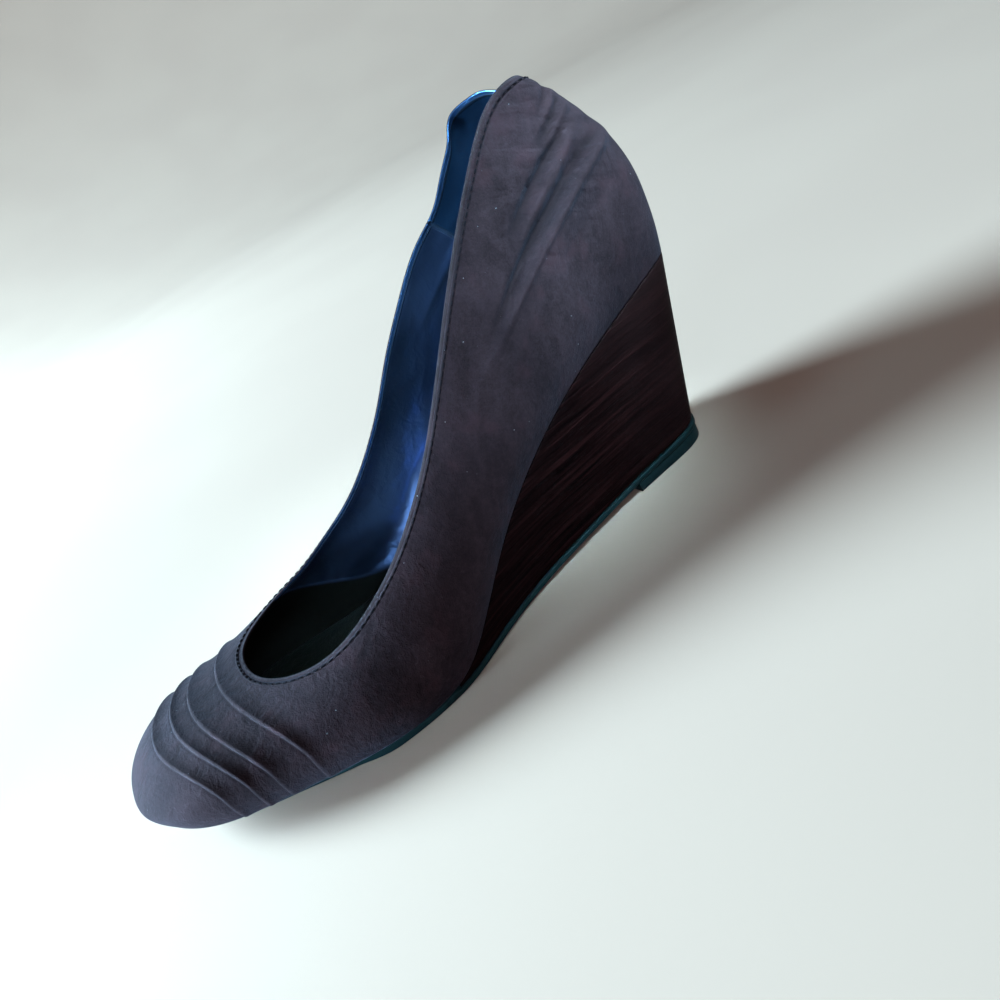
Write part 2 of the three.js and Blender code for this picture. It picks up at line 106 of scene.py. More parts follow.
class Finish:
    """One material with a principled shader. Fixed values go on the shader, varying ones are wired."""

    def __init__(self, name, **fixed):
        self.material = bpy.data.materials.new(name)
        self.material.use_nodes = True
        self.tree = self.material.node_tree
        self.shader = self.tree.nodes["Principled BSDF"]
        self.normal = None
        for key, value in fixed.items():
            self.shader.inputs[key.replace("_", " ")].default_value = value

    def feed(self, socket, value):
        """Link a signal to the socket, or set the socket to a number, colour or vector."""
        if isinstance(value, Signal):
            self.tree.links.new(value.socket, socket)
        elif isinstance(value, tuple) and len(value) == 3 and socket.type == "RGBA":
            socket.default_value = (*value, 1.0)
        else:
            socket.default_value = value

    def node(self, kind, output=0, settings=None, numbered=None, **inputs):
        """Any node: settings are its properties, inputs its sockets by name and numbered those by number."""
        node = self.tree.nodes.new(kind)
        for key, value in (settings or {}).items():
            setattr(node, key, value)
        for number, value in (numbered or {}).items():
            self.feed(node.inputs[number], value)
        for key, value in inputs.items():
            self.feed(node.inputs[key.replace("_", " ")], value)
        return Signal(self, node.outputs[output])

    def place(self, stretch=(1.0, 1.0, 1.0), turn=(0.0, 0.0, 0.0)):
        """Object coordinates in millimetres, turned by degrees and then scaled by stretch."""
        here = self.node("ShaderNodeTexCoord", output="Object")
        turned = self.node("ShaderNodeMapping", Vector=here, Rotation=tuple(math.radians(a) for a in turn))
        scale = tuple(1000.0 * s for s in stretch)
        return self.node("ShaderNodeMapping", Vector=turned, Scale=scale)

    def noise(self, size, detail=3.0, rough=0.55, warp=0.0, at=None):
        """Noise with features of about size millimetres, 0 to 1 around 0.5."""
        spot = self.place() if at is None else at
        return self.node("ShaderNodeTexNoise", Vector=spot, Scale=1.0 / size, Detail=detail,
                         Roughness=rough, Distortion=warp)

    def attribute(self, name):
        """A value that the mesh holds at its points."""
        return self.node("ShaderNodeAttribute", output="Fac", settings={"attribute_name": name})

    def blend(self, first, second, amount):
        """Colour from first to second by amount."""
        return self.node("ShaderNodeMix", output=2, settings={"data_type": "RGBA"},
                         numbered={0: amount, 6: first, 7: second})

    def relief(self, height, depth):
        """Bump from a height of 0 to 1, depth in millimetres, on top of any earlier relief."""
        below = {} if self.normal is None else {"Normal": self.normal}
        self.normal = self.node("ShaderNodeBump", Strength=1.0, Distance=depth / 1000.0, Height=height, **below)

    def done(self, **varying):
        """The material, once its varying values and its relief are wired to the shader."""
        if self.normal is not None:
            varying["Normal"] = self.normal
        for key, value in varying.items():
            self.feed(self.shader.inputs[key.replace("_", " ")], value)
        return self.material


def bowl(flat, bend, turns):
    """A disc of radius flat, then a quarter circle of radius bend turned up round it."""
    turn = np.linspace(0, np.pi / 2, 21)[1:]
    radii = np.concatenate([[0.001, 0.05, 0.15, 0.4, 0.8, 1.2], [flat], flat + bend * np.sin(turn)])
    rises = np.concatenate([np.zeros(7), bend * (1 - np.cos(turn))])
    angle = np.linspace(0, 2 * np.pi, turns, endpoint=False)
    x = radii[:, None] * np.cos(angle)
    y = radii[:, None] * np.sin(angle)
    points = np.stack([x, y, np.broadcast_to(rises[:, None], x.shape)], -1).reshape(-1, 3)
    ring, k = np.meshgrid(np.arange(len(radii) - 1), np.arange(turns), indexing="ij")
    low = ring * turns
    after = (k + 1) % turns
    faces = np.stack([low + k, low + turns + k, low + turns + after, low + after], -1).reshape(-1, 4)
    return points, faces.tolist() + [list(range(turns))]


bowl_points, bowl_faces = bowl(flat=1.6, bend=1.4, turns=96)
floor_mesh = bpy.data.meshes.new("floor")
floor_mesh.from_pydata(bowl_points.tolist(), [], bowl_faces)
floor_mesh.polygons.foreach_set("use_smooth", [True] * len(bowl_faces))
floor = bpy.data.objects.new("floor", floor_mesh)
bpy.context.scene.collection.objects.link(floor)
paper = Finish("studio_paper", Roughness=0.9, Specular_IOR_Level=0.1)
paper_cloud = paper.noise(180.0, 2.0, 0.4).step(0.3, 0.7)
paper_tone = paper.blend((0.310, 0.208, 0.168), (0.320, 0.216, 0.174), paper_cloud)
floor_mesh.materials.append(paper.done(Base_Color=paper_tone))


def add_light(name, place, aim, size, power, colour, spread=180.0):
    """A round lamp at place that faces aim, in metres and watts, with its beam's spread in degrees."""
    data = bpy.data.lights.new(name, "AREA")
    data.shape = "DISK"
    data.size = size
    data.energy = power
    data.color = colour
    data.spread = math.radians(spread)
    lamp = bpy.data.objects.new(name, data)
    turned = (Vector(aim) - Vector(place)).to_track_quat("-Z", "Y").to_matrix().to_4x4()
    lamp.matrix_world = Matrix.Translation(Vector(place)) @ turned
    lamp.visible_camera = False
    bpy.context.scene.collection.objects.link(lamp)


add_light("window", (1.90, -1.32, 1.10), (0.02, 0.0, 0.05), 1.2, 660.0, (0.48, 0.82, 1.0))
add_light("heel_light", (-0.135, 0.10, 0.215), (-0.082, 0.026, 0.106), 0.08, 0.19, (0.47, 0.84, 1.0), 33.0)
add_light("toe_light", (0.42, 0.05, 0.045), (0.105, 0.01, 0.025), 0.06, 0.9, (0.45, 0.80, 1.0), 60.0)
add_light("warm_fill", (-0.2, 1.9, 1.1), (0.0, 0.0, 0.05), 1.6, 6.0, (1.0, 0.76, 0.72))
add_light("lining_glint", (0.50, 0.52, 0.26), (0.005, -0.03, 0.02), 0.14, 2.0, (0.45, 0.75, 1.0))
world = bpy.data.worlds.new("daylight")
world.use_nodes = True
sky = world.node_tree.nodes["Background"]
sky.inputs["Color"].default_value = (1.0, 0.99, 0.97, 1.0)
sky.inputs["Strength"].default_value = 0.20
bpy.context.scene.world = world
bpy.context.scene.view_settings.view_transform = "Standard"

# Upper
# Soft grey suede lasted over a leather lining: one wall, a folded topline, four tucks on the vamp
# and loose folds at the heel. The last's sizes, sections and columns are those of the part.
LENGTH = 236.0
BALL_WIDTH = 83.2
LAST_HEIGHT = 107.0
HEEL_RISE = 61.0
TOE_SPRING = 10.2
VAMP_LENGTH = 49.0
THROAT = LENGTH - VAMP_LENGTH
WALL = 1.8
GAP = 0.3
SOLE = 1.8
BALL_SPARE = 0.3
BALL_SEAT = SOLE + GAP + BALL_SPARE
TOE_BLUNT = 6.6
TOE_TUCK = 2.0
TOE_TUCK_HEIGHT = 8.0
SIDE_SHARE = 0.18
BACK_HOLLOW = 21.0
BACK_TUCK = 1.0
BACK_RISE = 36.0
BACK_TOP = 15.0
# the part's millimetres run from the heel's back, and the frame's origin is the middle of its box
MIDDLE = np.array([117.400, 0.654, 0.0])

# share, centre, half, inset, heel, toe, ridge, widest, round
SECTIONS = np.array([
    (0.00, 0.008, 0.375, 0.024, 1.000, 0.000, 1.000, 0.150, 1.13),
    (0.05, 0.005, 0.234, 0.026, 0.997, 0.000, 1.000, 0.150, 1.13),
    (0.15, -0.024, 0.300, 0.044, 0.889, 0.000, 0.981, 0.150, 1.21),
    (0.30, -0.016, 0.340, 0.058, 0.685, 0.000, 0.832, 0.131, 1.50),
    (0.45, 0.010, 0.373, 0.056, 0.354, 0.000, 0.523, 0.121, 1.74),
    (0.52, 0.019, 0.413, 0.046, 0.161, 0.000, 0.477, 0.112, 1.86),
    (0.58, 0.025, 0.457, 0.035, 0.036, 0.000, 0.458, 0.112, 1.98),
    (0.64, 0.020, 0.487, 0.035, 0.000, 0.000, 0.402, 0.103, 2.14),
    (0.70, 0.007, 0.500, 0.038, 0.000, 0.059, 0.336, 0.103, 2.27),
    (0.82, -0.012, 0.444, 0.035, 0.000, 0.431, 0.262, 0.093, 2.29),
    (0.92, -0.034, 0.352, 0.024, 0.000, 0.725, 0.266, 0.084, 2.40),
    (1.00, -0.069, 0.374, 0.026, 0.000, 1.000, 0.255, 0.075, 2.40),
])
# share, outer, inner
OPENING = np.array([
    (0.00, 0.365, 0.365),
    (0.08, 0.395, 0.362),
    (0.20, 0.420, 0.355),
    (0.38, 0.422, 0.348),
    (0.56, 0.475, 0.460),
    (0.74, 0.520, 0.480),
    (0.90, 0.590, 0.570),
    (1.00, 1.000, 1.000),
])
# crest, ramp, lip
TUCKS = [
    (0.173, 0.112, 0.80),
    (0.384, 0.153, 1.00),
    (0.518, 0.093, 1.00),
    (0.665, 0.106, 0.92),
]
TUCK_LIP = 1.3
TUCK_BOW = 10.0
# from x, from z, to x, to z, outer rise, inner rise, width
FOLDS = [
    (0.059, 0.400, 0.350, 0.300, 1.0, 1.0, 1.0),
    (0.068, 0.441, 0.345, 0.342, -0.9, -0.7, 0.75),
    (0.106, 0.484, 0.229, 0.450, -0.9, 0.0, 0.6),
    (0.082, 0.600, 0.207, 0.545, 0.0, 3.6, 1.7),
]
FOLD_RISE = 1.3
FOLD_WIDTH = 3.0


def angle_of(share):
    """Where a share of the length lies on a half turn from heel to toe: share = (1 - cos angle) / 2."""
    return np.arccos(np.clip(1 - 2 * np.asarray(share, float), -1, 1))


def share_of(angle):
    """The share of the length at an angle of the half turn."""
    return (1 - np.cos(angle)) / 2


def smooth(value):
    """0 below 0, 1 above 1 and 3 t^2 - 2 t^3 between."""
    t = np.clip(value, 0, 1)
    return t * t * (3 - 2 * t)


def cubic_through(t, y, free_end=False):
    """Cubic through the points, level at both ends or unbent at the last.

    Its bends b at the points solve h0 b0 + 2 (h0 + h1) b1 + h1 b2 = 6 (change of slope).
    """
    n = len(t)
    h = np.diff(t)
    slope = np.diff(y) / h
    grid = np.zeros((n, n))
    right = np.zeros(n)
    grid[0, :2] = (2 * h[0], h[0])
    right[0] = 6 * slope[0]
    for i in range(1, n - 1):
        grid[i, i - 1:i + 2] = (h[i - 1], 2 * (h[i - 1] + h[i]), h[i])
        right[i] = 6 * (slope[i] - slope[i - 1])
    if free_end:
        grid[-1, -1] = 1
    else:
        grid[-1, -2:] = (h[-1], 2 * h[-1])
        right[-1] = -6 * slope[-1]
    bend = np.linalg.solve(grid, right)

    def curve(at):
        at = np.asarray(at, float)
        i = np.clip(np.searchsorted(t, at) - 1, 0, n - 2)
        a = (t[i + 1] - at) / h[i]
        b = (at - t[i]) / h[i]
        cubic = ((a ** 3 - a) * bend[i] + (b ** 3 - b) * bend[i + 1]) * h[i] ** 2 / 6
        return a * y[i] + b * y[i + 1] + cubic

    return curve


def section_column(values):
    """A column of the sections as a smooth function of the angle."""
    return cubic_through(angle_of(SECTIONS[:, 0]), values)


def half_ratio():
    """Half width over the sine of the angle, so the outline closes round; end rows hold end radii."""
    size = SECTIONS[:, 2] * BALL_WIDTH
    ratio = np.sqrt(size * LENGTH / 2)
    ratio[1:-1] = size[1:-1] / np.sin(angle_of(SECTIONS[1:-1, 0]))
    return section_column(ratio)


centre_at = section_column(SECTIONS[:, 1] * BALL_WIDTH)
half_ratio_at = half_ratio()
inset_at = section_column(SECTIONS[:, 3] * BALL_WIDTH)
seat_at = section_column(BALL_SEAT + SECTIONS[:, 4] * HEEL_RISE + SECTIONS[:, 5] * TOE_SPRING)
ridge_at = section_column(SECTIONS[:, 6] * LAST_HEIGHT)
widest_at = section_column(SECTIONS[:, 7] * LAST_HEIGHT)
round_at = section_column(SECTIONS[:, 8])
opening_angles = angle_of(OPENING[:, 0])
covered_at = {
    1: cubic_through(opening_angles, 1 - OPENING[:, 1], True),
    -1: cubic_through(opening_angles, 1 - OPENING[:, 2], True),
}


def seat_height(x):
    """Height of the seat, where the foot stands, at a length."""
    return seat_at(angle_of(np.clip(x / LENGTH, 0, 1)))


def last_point(angle, up, side):
    """The last's surface: a sine turn up to the widest height, then y = half cos^(2/round), z = ridge sin."""
    angle, up = np.broadcast_arrays(np.asarray(angle, float), np.asarray(up, float))
    share = share_of(angle)
    half = np.maximum(np.sin(angle) * half_ratio_at(angle), 0)
    ridge = ridge_at(angle) * np.sqrt(np.maximum(1 - share ** TOE_BLUNT, 0))
    widest = np.minimum(widest_at(angle), 0.45 * ridge)
    inset = inset_at(angle) * np.clip(half / (0.24 * BALL_WIDTH), 0, 1)
    t = np.clip(up / SIDE_SHARE, 0, 1)
    turn = np.clip((up - SIDE_SHARE) / (1 - SIDE_SHARE), 0, 1) * np.pi / 2
    low = up < SIDE_SHARE
    y = np.where(low, half - inset + inset * np.sin(t * np.pi / 2),
                 half * np.maximum(np.cos(turn), 0) ** (2 / round_at(angle)))
    z = np.where(low, widest * t, widest + (ridge - widest) * np.sin(turn))
    lean = np.where(z < BACK_HOLLOW, BACK_TUCK * (1 - z / BACK_HOLLOW) ** 2,
                    BACK_TOP * ((z - BACK_HOLLOW) / BACK_RISE) ** 2)
    rear = np.clip(1 - share / 0.35, 0, 1) ** 2
    front = np.clip((share - 0.8) / 0.2, 0, 1) ** 2
    x = share * LENGTH + lean * rear - TOE_TUCK * np.clip(1 - z / TOE_TUCK_HEIGHT, 0, 1) ** 2 * front
    return np.stack([x, centre_at(angle) + side * y, seat_at(angle) + z], -1)


def unit(vectors):
    """Each vector over its length."""
    return vectors / np.maximum(np.linalg.norm(vectors, axis=-1, keepdims=True), 1e-9)


def last_normal(angle, up, side):
    """Outward normal: the cross product of the surface's slopes along and up."""
    angle, up = np.broadcast_arrays(np.asarray(angle, float), np.asarray(up, float))
    step = 0.012
    before = np.where(angle < step, angle, angle - step)
    along = last_point(angle + step, up, side) - last_point(before, up, side)
    along = np.where((angle < 0.001)[..., None], np.array([0.0, side, 0.0]), along)
    above = last_point(angle, np.minimum(up + step, 1), side)
    rise = above - last_point(angle, np.maximum(up - step, 0), side)
    normal = -side * np.cross(along, rise)
    ridge = np.stack([-along[..., 2], np.zeros(angle.shape), along[..., 0]], -1)
    normal = np.where((up > 0.999)[..., None], ridge, normal)
    return unit(np.where((angle > np.pi - 0.03)[..., None], np.array([1.0, 0.0, 0.0]), normal))


def fold_rise(x, height, side):
    """Sum of rise exp(-(off / width)^2) over the heel's folds, each faded towards its ends."""
    rise = np.zeros(np.shape(x))
    for x0, z0, x1, z1, outer, inner, width in FOLDS:
        dx = (x1 - x0) * LENGTH
        dz = (z1 - z0) * LAST_HEIGHT
        px = x - x0 * LENGTH
        pz = height - z0 * LAST_HEIGHT
        run = math.hypot(dx, dz)
        along = (px * dx + pz * dz) / run ** 2
        off = (px * dz - pz * dx) / (run * FOLD_WIDTH * width)
        fade = smooth((1 - along) / 0.6) * smooth((along + 0.5) / 0.4)
        rise = rise + (outer if side > 0 else inner) * FOLD_RISE * fade * np.exp(-off * off)
    return rise


# sharper creases of the slack collar: three points of length and height, outer rise, inner rise, width
CREASES = [
    ((13.0, 41.4), (39.0, 39.3), (78.0, 32.6), 2.1, 0.6, 1.6),
    ((14.0, 37.4), (39.0, 35.4), (76.0, 28.8), 1.2, 0.3, 3.4),
    ((15.0, 44.1), (42.0, 41.8), (82.0, 35.5), -2.0, -0.6, 1.6),
    ((24.0, 51.4), (38.0, 50.0), (58.0, 47.2), -2.0, -0.7, 2.1),
    ((21.0, 48.0), (36.0, 46.6), (54.0, 44.0), 0.9, 0.4, 1.9),
    ((20.0, 57.6), (26.0, 55.6), (36.0, 55.0), -1.8, -0.5, 1.5),
    ((18.0, 54.6), (25.0, 52.9), (34.0, 52.2), 0.9, 0.4, 1.7),
    ((19.0, 62.6), (24.0, 60.4), (31.0, 58.8), -1.6, -0.4, 1.2),
    ((17.0, 59.8), (23.0, 58.0), (30.0, 57.2), 1.0, 0.3, 1.4),
    ((44.0, 31.0), (62.0, 27.5), (84.0, 24.0), 0.45, 0.4, 3.2),
    ((58.0, 40.5), (74.0, 35.5), (96.0, 31.0), 0.4, 0.3, 2.6),
]


def crease_rise(x, height, side):
    """Sum of rise exp(-(off / width)^2) over the creases, each a parabola of height over length."""
    rise = np.zeros(np.shape(x))
    for start, middle, end, outer, inner, width in CREASES:
        t = np.clip((x - start[0]) / (end[0] - start[0]), -0.2, 1.2)
        m = (middle[0] - start[0]) / (end[0] - start[0])
        bend = (middle[1] - start[1] - m * (end[1] - start[1])) / (m * (m - 1))
        line = start[1] + t * (end[1] - start[1]) + bend * t * (t - 1)
        slope = (end[1] - start[1]) / (end[0] - start[0])
        off = (height - line) / (width * math.hypot(1, slope))
        fade = smooth((t + 0.12) / 0.28) * smooth((1.1 - t) / 0.45)
        rise = rise + (outer if side > 0 else inner) * fade * np.exp(-off * off)
    return rise


# slow waves of the worn suede: turn per mm of length, turn per mm of height, phase
SLOUCH = [
    (0.105, 0.050, 0.4),
    (0.062, -0.120, 2.1),
    (0.171, 0.083, 4.0),
    (0.043, 0.190, 1.2),
    (0.215, -0.150, 5.3),
]
SLOUCH_RISE = 0.13
INNER_PHASE = 1.7


def slouch(x, height, side):
    """Low soft dents of worn suede: a sum of slow sine waves, faded out towards the sole and the toe."""
    shift = 0 if side > 0 else INNER_PHASE
    total = sum(np.sin(a * x + b * height + phase + shift) for a, b, phase in SLOUCH)
    return SLOUCH_RISE * total * smooth(height / 16) * smooth((178 - x) / 40)


# the inner topline's buckle and the hollow ahead of it: rise, length, width
BUCKLES = [(4.6, 33.0, 5.5), (-2.2, 57.0, 8.0)]
BUCKLE_WAY = np.array([0.36, -0.82, 0.44])


def knob(x, height, side):
    """Sum of rise exp(-((x - length) / width)^2) over the buckles, on the inner side, above 50 mm."""
    out = sum(rise * np.exp(-((x - length) / width) ** 2) for rise, length, width in BUCKLES)
    out = out * smooth((height - 50.0) / 10.0) * (side < 0)
    return out[..., None] * BUCKLE_WAY


def skin_point(angle, up, side, lining=False):
    """The outer surface with the collar's folds and slack on it; the lining keeps clear of the sharper ones."""
    point = last_point(angle, up, side)
    height = point[..., 2] - seat_at(angle)
    x = point[..., 0]
    rise = fold_rise(x, height, side) + slouch(x, height, side)
    sharp = crease_rise(x, height, side)
    buckle = knob(x, height, side)
    if lining:
        rise = rise + np.minimum(sharp, 0)
        buckle = buckle * smooth((height - 58.0) / 3.5)[..., None]
    else:
        rise = rise + sharp
    rise = rise * smooth(share_of(angle) / 0.05) * smooth(height / (0.11 * LAST_HEIGHT))
    return point + last_normal(angle, up, side) * rise[..., None] + buckle


def feather_point(angle, side, inset):
    """The feather edge on the seat surface, moved inwards in plan by inset."""
    angle = np.asarray(angle, float)
    inset = np.broadcast_to(np.asarray(inset, float), angle.shape)
    base = last_point(angle, 0.0, side)
    after = last_point(angle + 0.01, 0.0, side) - last_point(angle - 0.01, 0.0, side)
    normal = unit(np.stack([-side * after[..., 1], side * after[..., 0]], -1))
    normal = np.where((angle < 0.02)[..., None], np.array([-1.0, 0.0]), normal)
    normal = np.where((angle > np.pi - 0.02)[..., None], np.array([1.0, 0.0]), normal)
    x = base[..., 0] - normal[..., 0] * inset
    return np.stack([x, base[..., 1] - normal[..., 1] * inset, seat_height(x)], -1)


def bow_at(x, up):
    """How far a row bows back from the ridge to the feather edge: bow cos(turn)^1.75."""
    inside = smooth((x - 0.76 * THROAT) / (0.25 * THROAT)) * smooth((LENGTH - x) / (0.29 * VAMP_LENGTH))
    turn = np.clip((up - SIDE_SHARE) / (1 - SIDE_SHARE), 0, 1) * np.pi / 2
    return TUCK_BOW * inside * np.maximum(np.cos(turn), 0) ** 1.75


def weld(points, faces):
    """Join points that share a place, turn the quads that lost a side into triangles and drop the rest."""
    keys = np.round(points * 2000).astype(np.int64)
    _, first, inverse = np.unique(keys, axis=0, return_index=True, return_inverse=True)
    quads = inverse.reshape(-1)[np.asarray(faces)]
    same = quads == np.roll(quads, 1, 1)
    whole = quads[same.sum(1) == 0]
    whole = whole[(whole[:, 0] != whole[:, 2]) & (whole[:, 1] != whole[:, 3])]
    thin = quads[same.sum(1) == 1]
    keep = ~same[same.sum(1) == 1]
    return points[first], whole.tolist() + thin[keep].reshape(-1, 3).tolist(), first


def add_piece(name, points, faces, material, values=None, stands_for=()):
    """A smooth piece from points in the part's millimetres, with values per point as attributes."""
    points, faces, first = weld(points, faces)
    mesh = bpy.data.meshes.new(name)
    mesh.from_pydata(((points - MIDDLE) / 1000).tolist(), [], faces)
    mesh.polygons.foreach_set("use_smooth", [True] * len(mesh.polygons))
    for key, column in (values or {}).items():
        mesh.attributes.new(key, "FLOAT", "POINT").data.foreach_set("value", column[first].astype(np.float32))
    mesh.materials.append(material)
    piece = bpy.data.objects.new(name, mesh)
    bpy.context.scene.collection.objects.link(piece)
    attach(piece, "root")
    if stands_for:
        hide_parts(*stands_for)
    return piece


def grid_faces(rows, columns, start=0, flip=False):
    """Quads of a grid of points, numbered row by row from start."""
    low = start + np.arange(rows - 1)[:, None] * columns + np.arange(columns - 1)[None]
    quads = np.stack([low, low + columns, low + columns + 1, low + 1], -1).reshape(-1, 4)
    return quads[:, ::-1] if flip else quads


# a lip's rounded nose: mm ahead of the crest, share of the lip's height, painted shade under the lip
NOSE = [
    (0.0, 1.0, 0.0),
    (0.25, 0.97, 0.0),
    (0.49, 0.87, 0.0),
    (0.68, 0.72, 0.0),
    (0.81, 0.55, 0.1),
    (0.89, 0.38, 0.3),
    (0.96, 0.20, 0.5),
    (1.07, 0.05, 0.5),
    (1.21, -0.04, 0.35),
    (1.40, -0.07, 0.2),
    (1.66, -0.04, 0.1),
    (1.92, 0.0, 0.0),
]


def tuck_rows():
    """Rows of the vamp as length, rise and painted crease shade: each tuck climbs its ramp as t^2.6 and rounds
    its nose.
    """
    rows = [(THROAT + 0.3 * k, 0.0, 0.0) for k in range(5)]
    for crest, ramp, lip in TUCKS:
        place = THROAT + crest * VAMP_LENGTH
        height = lip * TUCK_LIP
        for t in np.linspace(0, 0.95, 12):
            # painted shade on the ramp just behind each crest, where it turns away from the window
            shade = 0.45 * t ** 3 * (1 - t ** 8)
            rows.append((place - ramp * VAMP_LENGTH * (1 - t), height * t ** 2.6, shade))
        rows.extend((place + ahead, height * rise, painted_crease_shade) for ahead, rise, painted_crease_shade in NOSE)
    last = angle_of(rows[-1][0] / LENGTH)
    for angle in np.linspace(last, np.pi, 41)[1:]:
        rows.append((share_of(angle) * LENGTH, 0.0, 0.0))
    return np.array(rows)


REAR_ROWS = 150
COLUMNS = 96
LINING_COLUMNS = 60
vamp = tuck_rows()


def upper_grid(side, columns):
    """Angle, share of the section, tuck rise and painted crease shade for every row and column of one side."""
    u = share_of(np.pi * np.arange(REAR_ROWS) / REAR_ROWS)
    reach = 1 - covered_at[side](angle_of(u))
    top = np.concatenate([SIDE_SHARE + (1 - SIDE_SHARE) * reach, np.ones(len(vamp))])
    x = np.concatenate([u * THROAT, vamp[:, 0]])
    rise = np.concatenate([np.zeros(REAR_ROWS), vamp[:, 1]])
    painted_crease_shade = np.concatenate([np.zeros(REAR_ROWS), vamp[:, 2]])
    up = top[:, None] * np.linspace(0, 1, columns)[None]
    place = x[:, None] - bow_at(x[:, None], up) + bow_at(x, top)[:, None]
    lip = rise[:, None] * (0.35 + 0.45 * smooth(up / 0.4))
    return angle_of(place / LENGTH), up, lip, np.broadcast_to(painted_crease_shade[:, None], up.shape)


def topline_loop():
    """The opening's edge once round, with the surface normal and the way out of the wall at each point."""
    points, normals = [], []
    for side in (1, -1):
        angle, up, _, _ = upper_grid(side, 3)
        rows = slice(0, REAR_ROWS + 1)
        point = skin_point(angle[rows, -1], up[rows, -1], side)
        normal = last_normal(angle[rows, -1], up[rows, -1], side)
        order = slice(None) if side > 0 else slice(-2, 0, -1)
        points.append(point[order])
        normals.append(normal[order])
    points = np.concatenate(points)
    normals = np.concatenate(normals)
    tangent = unit(np.roll(points, -1, 0) - np.roll(points, 1, 0))
    return points, normals, unit(np.cross(tangent, normals))


edge_points, edge_normals, edge_outwards = topline_loop()

# the folded edge is thinner than the wall by EDGE_THIN on each face, and the wall thins over EDGE_FADE
EDGE_THIN = 0.48
EDGE_FADE = 3.0
HALF_EDGE = WALL / 2 - EDGE_THIN
ROLL_COLUMNS = 6
ROLL_MEET = 0.62 * np.pi


def edge_distance(points):
    """Distance of each point to the opening's edge."""
    out = np.empty(len(points))
    for k in range(0, len(points), 4000):
        gap = points[k:k + 4000, None] - edge_points[None]
        out[k:k + 4000] = np.sqrt((gap ** 2).sum(-1)).min(1)
    return out


def edge_thinning(skin):
    """How far a face of the wall draws in towards the folded edge."""
    away = edge_distance(skin.reshape(-1, 3)).reshape(skin.shape[:-1])
    return EDGE_THIN * (1 - smooth(away / EDGE_FADE))


def rolled_edge(first, last):
    """A strip round the opening: part of a circle of the edge's thickness between two turns of it."""
    turn = np.linspace(first, last, ROLL_COLUMNS)[None, :, None]
    middle = edge_points - edge_normals * WALL / 2
    spoke = np.cos(turn) * edge_normals[:, None] + np.sin(turn) * edge_outwards[:, None]
    roll = middle[:, None] + HALF_EDGE * spoke
    return np.concatenate([roll, roll[:1]])


def suede_points():
    """Outer skin with its tucks, the wall's thickness at the feather edge and the rolled edge's outer part."""
    points, faces, painted_crease_shade, slack = [], [], [], []
    count = 0
    for side in (1, -1):
        angle, up, lip, painted_shade = upper_grid(side, COLUMNS)
        normal = last_normal(angle, up, side)
        skin = skin_point(angle, up, side)
        outside = skin + normal * (lip - edge_thinning(skin))[..., None]
        outside[:, 0] = feather_point(angle[:, 0], side, -lip[:, 0])
        x = outside[..., 0]
        height = outside[..., 2] - seat_at(angle)
        # painted shade in the valleys of the collar's creases, added to the tucks' painted shade
        painted_shade = np.maximum(painted_shade, smooth((-0.15 - crease_rise(x, height, side)) / 1.3) * 0.6)
        points.append(outside.reshape(-1, 3))
        painted_crease_shade.append(painted_shade.reshape(-1))
        loose = smooth((100 - x) / 60) * smooth((height - 22) / 18) * smooth(x / 12)
        slack.append(loose.reshape(-1))
        faces.append(grid_faces(len(angle), COLUMNS, count, side < 0))
        count += outside.shape[0] * COLUMNS
        under = np.stack([outside[:, 0], feather_point(angle[:, 0], side, WALL)], 1)
        points.append(under.reshape(-1, 3))
        painted_crease_shade.append(np.zeros(len(under) * 2))
        slack.append(np.zeros(len(under) * 2))
        faces.append(grid_faces(len(under), 2, count, side > 0))
        count += len(under) * 2
    roll = rolled_edge(0, ROLL_MEET)
    points.append(roll.reshape(-1, 3))
    painted_crease_shade.append(np.zeros(len(roll) * ROLL_COLUMNS))
    slack.append(np.zeros(len(roll) * ROLL_COLUMNS))
    faces.append(grid_faces(len(roll), ROLL_COLUMNS, count))
    points = np.concatenate(points)
    return points, np.concatenate(faces), np.concatenate(painted_crease_shade), np.concatenate(slack)


def lining_points():
    """Inner skin, a wall's thickness in from the outer one, and the inner part of the rolled edge."""
    points, faces, high = [], [], []
    count = 0
    for side in (1, -1):
        angle, up, _, _ = upper_grid(side, LINING_COLUMNS)
        normal = last_normal(angle, up, side)
        skin = skin_point(angle, up, side, lining=True)
        inside = skin - normal * (WALL - edge_thinning(skin))[..., None]
        inside[:, 0] = feather_point(angle[:, 0], side, WALL)
        rows = slice(0, REAR_ROWS + 1)
        edge = skin_point(angle[rows, -1], up[rows, -1], side)
        inside[rows, -1] = edge - normal[rows, -1] * (WALL - EDGE_THIN)
        points.append(inside.reshape(-1, 3))
        high.append((inside[..., 2] - seat_at(angle)).reshape(-1))
        faces.append(grid_faces(len(angle), LINING_COLUMNS, count, side > 0))
        count += inside.shape[0] * LINING_COLUMNS
    roll = rolled_edge(ROLL_MEET, np.pi)
    points.append(roll.reshape(-1, 3))
    high.append((roll[..., 2] - seat_height(roll[..., 0])).reshape(-1))
    faces.append(grid_faces(len(roll), ROLL_COLUMNS, count))
    return np.concatenate(points), np.concatenate(faces), np.concatenate(high)


